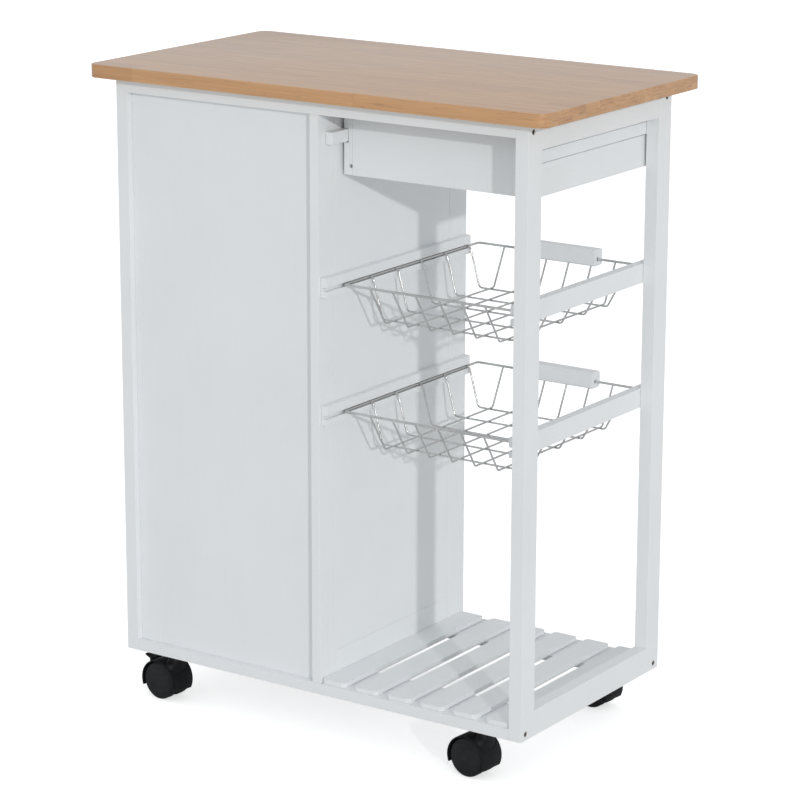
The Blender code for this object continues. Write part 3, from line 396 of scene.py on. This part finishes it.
def butcher_block():
    """Glued staves along the top, each cut from another board, oiled above and paler and bare below."""
    s = Shader("butcher_block")
    x, y, z = (s.add("ShaderNodeSeparateXYZ", {"Vector": s.place}, axis) for axis in "XYZ")
    across = s.math("DIVIDE", s.math("SUBTRACT", y, STAVES_FROM), STAVE_WIDTH)
    row = s.math("FLOOR", across)
    row_luck = s.add("ShaderNodeTexWhiteNoise", {"W": row}, "Value", noise_dimensions="1D")
    length = s.math("ADD", s.math("DIVIDE", x, STAVE_LENGTH), s.math("MULTIPLY", row_luck, 9.0))
    column = s.math("FLOOR", length)
    level = s.math("DIVIDE", s.math("SUBTRACT", z, STAVE_LAYERS_FROM), STAVE_LAYER)
    layer = s.math("MAXIMUM", s.math("FLOOR", level), 0.0)
    cell = s.add("ShaderNodeCombineXYZ", {"X": row, "Y": column, "Z": layer})
    luck = s.add("ShaderNodeTexWhiteNoise", {"Vector": cell}, "Value", noise_dimensions="3D")
    colour_luck = s.add("ShaderNodeTexWhiteNoise", {"Vector": cell}, "Color", noise_dimensions="3D")
    own = s.moved(s.place, s.scaled((3.0, 5.0, 7.0), colour_luck))

    bands = s.noise(s.scaled((2.6, 75.0, 75.0), own), 1.0, 4.0, 0.55)
    fibres = s.noise(s.scaled((14.0, 900.0, 900.0), own), 1.0, 2.0, 0.5)
    streaks = s.noise(s.scaled((24.0, 300.0, 300.0), own), 1.0, 3.0, 0.6)
    end_streaks = s.noise(s.scaled((1.0, 34.0, 420.0), own), 1.0, 3.0, 0.6)
    tone = s.math("ADD", s.math("MULTIPLY", luck, 0.24), s.math("MULTIPLY", bands, 0.66))
    base = s.ramp(s.spread(tone, 0.14, 0.78), STAVE_TONES)
    base = s.mixed(s.spread(fibres, 0.30, 0.62, 0.28, 0.0), base, DARK_FIBRE)
    normal = s.add("ShaderNodeNewGeometry", {}, "Normal")
    at_end = s.math("ABSOLUTE", s.add("ShaderNodeSeparateXYZ", {"Vector": normal}, "X"))
    under = s.spread(s.add("ShaderNodeSeparateXYZ", {"Vector": normal}, "Z"), -0.4, -0.9)
    dark = s.spread(streaks, 0.585, 0.74, 0.0, 0.55)
    end_dark = s.math("MULTIPLY", s.spread(end_streaks, 0.52, 0.68, 0.0, 0.60), at_end)
    base = s.mixed(s.math("MAXIMUM", dark, end_dark), base, DARK_STREAK)

    def line(value, width):
        """1 on the joint between two staves."""
        part = s.math("ABSOLUTE", s.math("SUBTRACT", s.math("FRACT", value), 0.5))
        return s.spread(part, 0.5 - 0.7 * width, 0.5 - 0.3 * width)

    side_glue = line(across, GLUE_LINE / STAVE_WIDTH)
    glue = s.math("MAXIMUM", side_glue, line(length, GLUE_LINE / STAVE_LENGTH))
    base = s.mixed(s.math("MULTIPLY", glue, 0.26), base, GLUE)
    wear = s.math("MULTIPLY", s.edges(1.4 * MM), s.noise(s.place, 40.0, 3.0))
    base = s.mixed(s.math("MULTIPLY", wear, 0.35), base, WORN_WOOD)
    base = s.mixed(s.math("MULTIPLY", under, 0.55), base, BARE_WOOD)
    grain = s.math("ADD", s.math("MULTIPLY", fibres, 0.5), s.math("MULTIPLY", bands, 0.4))
    height = s.math("SUBTRACT", grain, glue)
    rough = s.math("ADD", s.spread(fibres, 0.3, 0.7, 0.50, 0.36), s.math("MULTIPLY", luck, 0.06))
    return s.finish({
        "Base Color": base, "Roughness": rough, "IOR": 1.5, "Coat Weight": 1.0, "Coat Roughness": 0.24,
        "Coat IOR": 1.66, "Normal": s.bump(height, 0.5, 0.12 * MM),
    })


def metal(name, low, high, roughness, dark=(0.22, 0.21, 0.20), grain=(300.0, 300.0, 300.0)):
    """Bare or plated metal with fine drawing marks and tarnish in its corners."""
    s = Shader(name)
    marks = s.noise(s.scaled(grain), 1.0, 3.0, 0.6)
    clouds = s.noise(s.place, 30.0, 3.0)
    value = s.math("ADD", s.math("MULTIPLY", marks, 0.4), s.math("MULTIPLY", clouds, 0.6))
    base = s.ramp(s.spread(value, 0.35, 0.65), [(0.0, low), (1.0, high)])
    base = s.mixed(s.spread(s.crevices(3 * MM), 0.2, 0.8, 0.55, 0.0), base, (*dark, 1))
    rough = s.spread(s.math("ADD", marks, clouds), 0.7, 1.3, roughness - 0.05, roughness + 0.09)
    return s.finish({
        "Base Color": base, "Metallic": 1.0, "Roughness": rough,
        "Normal": s.bump(marks, 0.25, 0.03 * MM),
    })


def moulded(name, colour, roughness, dust=0.12):
    """Black moulded plastic: fine spark texture, dusty scuffs, and a painted highlight that makes every edge
    paler.
    """
    s = Shader(name)
    spark = s.noise(s.place, 1500.0, 2.0, 0.6)
    scuffs = s.noise(s.scaled((60.0, 240.0, 240.0)), 1.0, 4.0, 0.7)
    clouds = s.noise(s.place, 45.0, 3.0)
    base = s.ramp(s.spread(clouds, 0.35, 0.65), [
        (0.0, [c * 0.8 for c in colour]), (1.0, [c * 1.25 for c in colour]),
    ])
    scuffed = s.math("MULTIPLY", s.spread(scuffs, 0.52, 0.72), dust)
    base = s.mixed(scuffed, base, DUST)
    # painted highlight: every edge is mixed towards a paler grey
    base = s.mixed(s.math("MULTIPLY", s.edges(0.6 * MM), 0.30), base, EDGE_HIGHLIGHT)
    dull = s.spread(clouds, 0.3, 0.7, roughness - 0.05, roughness + 0.08)
    rough = s.math("ADD", dull, s.math("MULTIPLY", spark, 0.06))
    return s.finish({
        "Base Color": base, "Roughness": rough, "IOR": 1.5, "Specular IOR Level": 0.22,
        "Normal": s.bump(spark, 0.35, 0.04 * MM),
    })


WHITE = (0.858, 0.882, 0.897)
PANEL = (0.852, 0.878, 0.898)
PAINT = {axis: painted_wood(f"painted_wood_{axis}", WHITE, axis) for axis in "XYZ"}
PANEL_PAINT = painted_wood("painted_panel", PANEL, "Z", dull=0.46, brushed=0.10)
BLOCK = butcher_block()
CHROME = metal("chrome_wire", (0.55, 0.55, 0.55), (0.72, 0.72, 0.72), 0.14)
NICKEL = metal("satin_nickel", (0.42, 0.41, 0.39), (0.56, 0.55, 0.53), 0.30, grain=(900.0, 60.0, 900.0))
BRONZE = metal("dark_bolt", (0.14, 0.085, 0.055), (0.24, 0.15, 0.10), 0.36, dark=(0.03, 0.02, 0.015))
PLASTIC = moulded("black_plastic", (0.0045, 0.005, 0.006), 0.46)
WHEEL_PLASTIC = moulded("wheel_plastic", (0.0105, 0.0115, 0.013), 0.40, dust=0.16)


# The CAD pieces that stay


def soften(node, width):
    """Rounds a CAD piece's edges in the render; its mesh stays as it is."""
    weld = node.modifiers.new("weld", "WELD")
    weld.merge_threshold = WELD_DISTANCE
    bevel = node.modifiers.new("round", "BEVEL")
    bevel.width, bevel.segments, bevel.limit_method = width, 2, "ANGLE"
    bevel.angle_limit = radians(32)
    bevel.miter_outer = "MITER_ARC"


def paint(name, material):
    """Gives a CAD piece its material."""
    for slot in NODES[name].material_slots:
        slot.material = material


def finish_cad_pieces():
    """Materials by the record's slots; brush lines and grain run along each board."""
    slots = {row["node"]: row["material_slot"] for row in frame["record"]["subparts"]}
    for name, slot in slots.items():
        low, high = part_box(name)
        size = high - low
        along = "XYZ"[max(range(3), key=lambda i: size[i])]
        if slot == "white_paint":
            paint(name, PAINT[along])
            soften(NODES[name], PAINTED_EDGE)
        elif slot == "panel_paint":
            paint(name, PANEL_PAINT)
            soften(NODES[name], PAINTED_EDGE)
        elif slot == "steel":
            paint(name, NICKEL)
        elif slot == "black_plastic":
            paint(name, PLASTIC)
            soften(NODES[name], MOULDED_EDGE)


# The butcher block slab


def make_slab():
    """The slab with round corners and small round edges; its staves are in the material."""
    low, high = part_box("tabletop")
    middle, half = (low + high) / 2, (high - low) / 2
    quarter = [pi / 2 * i / 5 for i in range(6)]
    levels = [(SLAB_EDGE * (1 - sin(a)), low.z + SLAB_EDGE * (1 - cos(a))) for a in quarter]
    levels += [(SLAB_EDGE * (1 - cos(a)), high.z - SLAB_EDGE * (1 - sin(a))) for a in quarter]
    rings = []
    for inset, z in levels:
        ring = []
        for k, (sx, sy) in enumerate(((1, 1), (-1, 1), (-1, -1), (1, -1))):
            centre = (middle.x + sx * (half.x - SLAB_CORNER), middle.y + sy * (half.y - SLAB_CORNER))
            ring += arc(centre, SLAB_CORNER - inset, k * pi / 2, (k + 1) * pi / 2, 16)
        rings.append(in_space(ring, "Z", z))
    bm = bmesh.new()
    loft(bm, rings)
    piece("butcher_block_slab", bm, BLOCK, "root", replaces=["tabletop"], angle=40)


# The baskets


def make_basket(level):
    """A basket's rim, its long and cross hoops, and the wire that ties the cross hoops' ends."""
    low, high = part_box(f"basket_{level}")
    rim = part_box(f"basket_{level}_handle")[0].z + RIM_ABOVE_HANDLE_FOOT
    x0, x1 = low.x + RIM_SOLID_RADIUS, high.x - RIM_SOLID_RADIUS
    y0, y1 = low.y + RIM_SOLID_RADIUS, high.y - RIM_SOLID_RADIUS
    along, across, up = Vector((1, 0, 0)), Vector((0, 1, 0)), Vector((0, 0, 1))
    bm = bmesh.new()
    corners = [Vector(c) for c in ((x1, y1, rim), (x0, y1, rim), (x0, y0, rim), (x1, y0, rim))]
    wire(bm, rounded_path(corners, RIM_CORNER, 8, closed=True), RIM_RADIUS, up, sides=16, closed=True)
    floor, under = rim - CAGE_DEPTH, rim - CAGE_DEPTH - CROSS_HOOP_DROP
    for offset in LONG_HOOPS:
        x = x1 - offset
        corners = [Vector((x, y, z)) for y, z in (
            (y0, rim), (y0 + CAGE_FRONT_INSET, floor), (y1 - CAGE_BACK_INSET, floor), (y1, rim))]
        wire(bm, rounded_path(corners, CAGE_BEND, BEND_STEPS), HOOP_RADIUS, along)
    top = (x0 + CAGE_TOP_INSET[0], x1 - CAGE_TOP_INSET[1])
    bottom = (x0 + CAGE_BOTTOM_INSET[0], x1 - CAGE_BOTTOM_INSET[1])
    for offset in CROSS_HOOPS:
        y = y1 - offset
        corners = [Vector((x, y, z)) for x, z in (
            (top[0], rim), (bottom[0], under), (bottom[1], under), (top[1], rim), (x1, rim))]
        wire(bm, rounded_path(corners, CROSS_HOOP_BEND, BEND_STEPS), HOOP_RADIUS, across)
    wire(bm, [Vector((top[0], y0, rim)), Vector((top[0], y1, rim))], HOOP_RADIUS, up)
    piece(
        f"wire_basket_{level}", bm, CHROME, f"{level}_basket",
        replaces=[f"basket_{level}"], angle=50,
    )


# The casters


def hood_height(x, trail):
    """How high the middle of the hood's skin is over a point along the caster."""
    return AXLE_HEIGHT + sqrt(max(0.0, HOOD_MIDDLE**2 - (x - trail) ** 2))


def add_boss(bm, trail):
    """A flat-topped neck that widens down into the hood, given as half sizes and heights in mm."""
    levels = [
        (0.3, 0.3, 61), (7.9, 7.9, 61), (8.4, 8.5, 60.5), (8.5, 8.8, 58),
        (8.6, 9.6, 55.5), (8.8, 11.2, 53.5), (9.0, 13.6, 51.5), (9.2, 16.0, 50),
        (9.3, 17.6, 46), (9.3, 18.2, 30), (4.0, 9.0, 30), (0.3, 0.3, 30),
    ]
    rings = []
    for half_x, half_y, z in levels:
        ring = []
        for u, v in circle(1, 48):
            px, py = u * half_x * MM, v * half_y * MM
            ring.append(Vector((px, py, max(z * MM, hood_height(px, trail)))))
        rings.append(ring)
    loft(bm, rings)


# A twin wheel's outline in mm, as (radius, distance from the caster's middle)
WHEEL_FACE = [
    (0.2, 18.9), (6, 18.85), (12, 18.7), (17.5, 18.4),
    (21.4, 17.9), (23.4, 17.2), (24.6, 16.0), (25, 14.2),
]
WHEEL_INSIDE = [
    (25, 13.0), (24.7, 12.7), (24.7, 12.3), (25, 12.0), (25, 6.2), (24.5, 4.8),
    (23.2, 4.1), (21, 4.0), (9, 4.0), (8, 4.6), (5, 4.6), (3, 4.0),
]

# A brake paddle's outline in mm from its pivot: its top runs inwards, and its underside outwards
PADDLE_TOP = [(14.0, 2.9), (13.6, 4.1), (12.6, 4.6), (10.5, 3.4), (7.7, 2.4), (4, 1.9), (1.2, 1.6)]
PADDLE_UNDERSIDE = [(-0.4, -1.3), (3, -1.2), (6, -0.6), (8.4, 0.1), (11, 1.3), (13.2, 2.3)]


def make_caster(place, braked):
    """A caster's hood, neck and stem, its twin wheels, and its brake if it has one."""
    swivel, roll = JOINTS[f"swivel_{place}"], JOINTS[f"roll_{place}"]
    stem, axle = Vector(swivel["pos_m"]), Vector(roll["pos_m"])
    stem.z = 0
    level = Vector((axle.x, axle.y, 0))
    trail = (level - stem).length
    ahead = (level - stem).normalized()
    across = Vector((0, 0, 1)).cross(ahead)
    turned = Matrix((ahead, across, (0, 0, 1))).transposed().to_4x4()
    local = Matrix.Translation(stem) @ turned
    name = f"caster_{place}"

    bm = bmesh.new()
    centre = (trail, AXLE_HEIGHT)
    start, end = HOOD_ANGLES
    inner, outer = HOOD_RADII
    skin = arc(centre, outer, start, end, 48) + arc(centre, inner, end, start, 48)
    prism(bm, skin, "Y", (-HOOD_HALF_WIDTH, HOOD_HALF_WIDTH))
    prism(bm, arc(centre, HOOD_MIDDLE, start, end, 48), "Y", (-WEB_HALF_WIDTH, WEB_HALF_WIDTH))
    if braked:
        pivot = local.inverted() @ Vector(JOINTS[f"brake_{place}"]["pos_m"])
        for side in (-1, 1):
            x0, x1 = pivot.x - LUG_REACH, pivot.x + LUG_REACH
            top = arc((pivot.x, pivot.z), LUG_REACH, 0, pi, 12)
            foot = [(x0, hood_height(x0, trail)), (x1, hood_height(x1, trail))]
            prism(bm, top + foot, "Y", sorted((side * LUG_Y[0], side * LUG_Y[1])))
    soften_edges(bm, 0.45 * MM)
    add_boss(bm, trail)
    piece(f"{name}_hood", bm, PLASTIC, name, local, [f"{name}_housing"])

    bm = bmesh.new()
    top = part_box(f"{name}_housing")[1].z
    lathe(bm, [
        (0.2 * MM, BOSS_TOP - 1 * MM), (WASHER_RADIUS, BOSS_TOP - 1 * MM),
        (WASHER_RADIUS, BOSS_TOP + 0.7 * MM), (WASHER_RADIUS - 0.4 * MM, BOSS_TOP + 1 * MM),
        (STEM_RADIUS, BOSS_TOP + 1 * MM), (STEM_RADIUS, top - 1 * MM),
        (STEM_RADIUS - 0.8 * MM, top), (0.2 * MM, top),
    ], "Z", 32)
    piece(f"{name}_stem", bm, NICKEL, name, local)

    half = [(r * MM, a * MM) for r, a in smooth_profile(WHEEL_FACE) + WHEEL_INSIDE]
    mirrored = [(r, -a) for r, a in reversed(half)]
    bm = bmesh.new()
    lathe(bm, half + mirrored, "Y", ROUND, (trail, 0, AXLE_HEIGHT))
    piece(
        f"{name}_twin_wheels", bm, WHEEL_PLASTIC, f"wheels_{place}", local,
        [f"{name}_wheels"], angle=30,
    )
    if braked:
        make_brake(place, local, pivot)


def add_rod(bm, half_profile, steps, at):
    """A rod across a caster, the same at both ends: (radius in mm, distance from its middle)."""
    half = [(radius * MM, along) for radius, along in half_profile]
    lathe(bm, [(radius, -along) for radius, along in half] + half[::-1], "Y", steps, at)


def make_brake(place, local, pivot):
    """A paddle with an upturned, ribbed tip on a barrel between the hood's ears."""
    x, z = pivot.x, pivot.z
    bm = bmesh.new()
    outline = [(x + u * MM, z + v * MM) for u, v in PADDLE_UNDERSIDE + PADDLE_TOP]
    prism(bm, outline, "Y", (-LEVER_HALF_WIDTH, LEVER_HALF_WIDTH))
    soften_edges(bm, 0.5 * MM, 2, 50)
    reach = LEVER_HALF_WIDTH + 0.1 * MM
    pin = LUG_Y[1] - 1 * MM
    add_rod(bm, [(0.1, reach), (1.9, reach), (2.1, reach - 0.2 * MM)], 32, (x, 0, z))
    add_rod(bm, [(0.1, pin), (1.1, pin)], 24, (x, 0, z))
    for k in range(3):
        rib = (x + (8.4 + 1.5 * k) * MM, 0, z + (2.7 + 0.62 * k) * MM)
        add_rod(bm, [(0.05, 5 * MM), (0.35, 4.8 * MM)], 10, rib)
    piece(
        f"caster_{place}_paddle", bm, PLASTIC, f"brake_{place}", local,
        [f"caster_{place}_brake_lever"],
    )


# Knobs, bolts and screws


def make_knob(node, body):
    """A turned knob with a narrow neck, sized from its CAD piece."""
    low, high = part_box(node)
    middle = (low + high) / 2
    head, length = (high.x - low.x) / 2, high.y - low.y
    profile = smooth_profile([
        (0.50 * head, 0.06 * length), (0.40 * head, 0.22 * length), (0.41 * head, 0.38 * length),
        (0.72 * head, 0.50 * length), (0.97 * head, 0.62 * length), (0.995 * head, 0.73 * length),
        (0.86 * head, 0.88 * length), (0.52 * head, 0.975 * length), (0.02 * head, 0.998 * length),
    ], 5)
    foot = [
        (0.02 * head, 0), (0.54 * head, 0), (0.55 * head, 0.015 * length), (0.55 * head, 0.05 * length),
    ]
    bm = bmesh.new()
    lathe(bm, [(r, -a) for r, a in foot + profile], "Y", ROUND, (middle.x, high.y, middle.z))
    piece(f"turned_{node}", bm, NICKEL, body, replaces=[node])


def screw_head(bm, at, facing, radius, dome, drive="hex", sunk=0.0):
    """A round head with a socket, its rim at a point on a face and looking out of it."""
    count, facing = 24, Vector(facing)
    side = facing.orthogonal().normalized()
    other = facing.cross(side)

    def ring(reach, depth):
        middle = Vector(at) + facing * (depth - sunk)
        points = []
        for k in range(count):
            angle = 2 * pi * k / count
            r = reach(angle) if callable(reach) else reach
            points.append(middle + side * (r * cos(angle)) + other * (r * sin(angle)))
        return points

    def hexagon(angle):
        return 0.46 * radius / cos((angle % (pi / 3)) - pi / 6)

    def cross(angle):
        return 0.58 * radius if abs(sin(2 * angle)) < 0.3 else 0.17 * radius

    socket = hexagon if drive == "hex" else cross
    rings = [
        ring(0.05 * radius, -1.2 * MM), ring(radius, -1.2 * MM), ring(radius, 0.3 * dome),
        ring(0.93 * radius, 0.75 * dome), ring(0.78 * radius, dome), ring(0.62 * radius, dome),
        ring(socket, dome), ring(socket, dome - 0.9 * MM), ring(0.04 * radius, dome - 1.0 * MM),
    ]
    loft(bm, rings)


def make_bolts():
    """Socket bolts in the posts' outer end faces, near both ends, as on the real frame."""
    for end, sign in (("bay", -1), ("cabinet", 1)):
        bm = bmesh.new()
        for side in ("front", "back"):
            low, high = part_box(f"post_{side}_{end}")
            x = low.x if sign < 0 else high.x
            y = low.y + BOLT_INSET if side == "front" else high.y - BOLT_INSET
            for z in (low.z + BOLT_FROM_BOTTOM, high.z - BOLT_FROM_TOP):
                screw_head(bm, (x, y, z), (sign, 0, 0), BOLT_RADIUS, 0.5 * MM, sunk=BOLT_SUNK)
        piece(f"frame_bolts_{end}", bm, BRONZE, "root", angle=30)


def make_screws():
    """Cross-head screws of the hinges."""
    door_low, door_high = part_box("door")
    post_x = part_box("post_front_cabinet")[0].x
    leaves = (
        ("frame_leaf", "root", -1, post_x - LEAF_FACE_GAP),
        ("door_leaf", "door", 1, door_high.x + LEAF_FACE_GAP),
    )
    for leaf, body, facing, x in leaves:
        bm = bmesh.new()
        for level in ("lower", "upper"):
            low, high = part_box(f"hinge_{level}_{leaf}")
            for rise in (-SCREW_SPACING, 0, SCREW_SPACING):
                y = door_low.y + (OUTER_SCREW_INSET if rise else MIDDLE_SCREW_INSET)
                at = (x, y, (low.z + high.z) / 2 + rise)
                screw_head(bm, at, (facing, 0, 0), SCREW_RADIUS, 0.12 * MM, "cross")
        piece(f"hinge_screws_{leaf}", bm, NICKEL, body, angle=30)


def make_dowel_plugs():
    """Small plugs over the dowels in the partition's front stile, on the side of the open bay."""
    low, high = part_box("partition")
    bm = bmesh.new()
    profile = [(0.1, -1), (1.9, -1), (1.9, 0.05), (1.5, 0.22), (0.1, 0.28)]
    for z in (*(low.z + rise for rise in PLUGS_FROM_BOTTOM), high.z - PLUG_FROM_TOP):
        at = (low.x, low.y + PLUG_FROM_FRONT, z)
        lathe(bm, [(radius * MM, -along * MM) for radius, along in profile], "X", 24, at)
    piece("dowel_plugs", bm, PAINT["Z"], "root", angle=30)


def make_shelf_pins():
    """Four pins that carry the cabinet shelf, pushed into the partition and the end frame."""
    low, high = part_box("cabinet_shelf")
    bm = bmesh.new()
    profile = [(0.1, -0.2), (2.5, -0.2), (2.5, 7.4), (2.2, 7.8), (0.1, 7.8)]
    for y in (low.y + SHELF_PIN_INSET, high.y - SHELF_PIN_INSET):
        for x, sign in ((low.x, 1), (high.x, -1)):
            at = (x, y, low.z - SHELF_PIN_DROP)
            lathe(bm, [(radius * MM, sign * along * MM) for radius, along in profile], "X", 24, at)
    piece("shelf_pins", bm, NICKEL, "root", angle=30)


# Light, floor and camera


def make_world():
    """White where the camera sees it, and a soft fill that comes a little more from behind the cart."""
    world = bpy.data.worlds.new("studio")
    bpy.context.scene.world = world
    world.use_nodes = True
    tree = world.node_tree
    tree.nodes.clear()
    seen = tree.nodes.new("ShaderNodeBackground")
    seen.inputs["Color"].default_value = (1, 1, 1, 1)
    seen.inputs["Strength"].default_value = BACKDROP
    fill = tree.nodes.new("ShaderNodeBackground")
    fill.inputs["Color"].default_value = FILL_COLOUR
    place = tree.nodes.new("ShaderNodeTexCoord")
    split = tree.nodes.new("ShaderNodeSeparateXYZ")
    toward = tree.nodes.new("ShaderNodeMath")
    toward.operation = "MULTIPLY_ADD"
    toward.inputs[1].default_value = FILL_FROM_BACK
    toward.inputs[2].default_value = FILL_STRENGTH
    tree.links.new(place.outputs["Generated"], split.inputs[0])
    tree.links.new(split.outputs["Y"], toward.inputs[0])
    tree.links.new(toward.outputs[0], fill.inputs["Strength"])
    path = tree.nodes.new("ShaderNodeLightPath")
    mix = tree.nodes.new("ShaderNodeMixShader")
    out = tree.nodes.new("ShaderNodeOutputWorld")
    tree.links.new(path.outputs["Is Camera Ray"], mix.inputs[0])
    tree.links.new(fill.outputs[0], mix.inputs[1])
    tree.links.new(seen.outputs[0], mix.inputs[2])
    tree.links.new(mix.outputs[0], out.inputs["Surface"])


def make_floor():
    """A floor that the camera sees as pale and glowing, and other rays as plain and light."""
    s = Shader("pale_floor")
    grain = s.noise(s.place, 60.0, 3.0)
    base = s.ramp(grain, [(0.0, (0.86, 0.86, 0.86)), (1.0, (0.90, 0.90, 0.90))])
    seen = s.add("ShaderNodeBsdfPrincipled", {
        "Base Color": base, "Roughness": 0.9, "Specular IOR Level": 0.1,
        "Emission Color": (1, 1, 1, 1), "Emission Strength": FLOOR_GLOW,
    })
    bounced = s.add("ShaderNodeBsdfDiffuse", {"Color": (FLOOR_BOUNCE, FLOOR_BOUNCE, FLOOR_BOUNCE, 1)})
    camera_ray = s.add("ShaderNodeLightPath", {}, "Is Camera Ray")
    surface = s.add("ShaderNodeMixShader", {0: camera_ray, 1: bounced, 2: seen})
    s.add("ShaderNodeOutputMaterial", {"Surface": surface})
    bm = bmesh.new()
    bmesh.ops.create_grid(bm, x_segments=8, y_segments=8, size=FLOOR_SIZE)
    mesh = bpy.data.meshes.new("floor")
    bm.to_mesh(mesh)
    bm.free()
    mesh.materials.append(s.material)
    floor = bpy.data.objects.new("floor", mesh)
    bpy.context.scene.collection.objects.link(floor)
    floor.location.z = -FLOOR_DROP


def make_lights():
    key = bpy.data.lights.new("key", "SUN")
    key.energy, key.angle, key.color = KEY_STRENGTH, KEY_ANGLE, KEY_COLOUR
    lamp = bpy.data.objects.new("key", key)
    lamp.rotation_euler = KEY_FROM.to_track_quat("Z", "Y").to_euler()
    bpy.context.scene.collection.objects.link(lamp)


def make_camera():
    data = bpy.data.cameras.new("camera")
    data.lens, data.sensor_width = CAMERA_LENS, SENSOR_WIDTH
    data.clip_start, data.clip_end = CLIP
    camera = bpy.data.objects.new("camera", data)
    camera.location = CAMERA_AT
    camera.rotation_euler = [radians(a) for a in CAMERA_TURN]
    bpy.context.scene.collection.objects.link(camera)
    bpy.context.scene.camera = camera


finish_cad_pieces()
make_slab()
for level in ("upper", "lower"):
    make_basket(level)
for place in ("front_bay", "back_bay", "front_cabinet", "back_cabinet"):
    make_caster(place, braked=place.endswith("cabinet"))
make_knob("door_knob", "door")
make_knob("drawer_knob", "drawer")
make_bolts()
make_screws()
make_dowel_plugs()
make_shelf_pins()
make_world()
make_floor()
make_lights()
make_camera()
bpy.context.scene.view_settings.view_transform = "Standard"
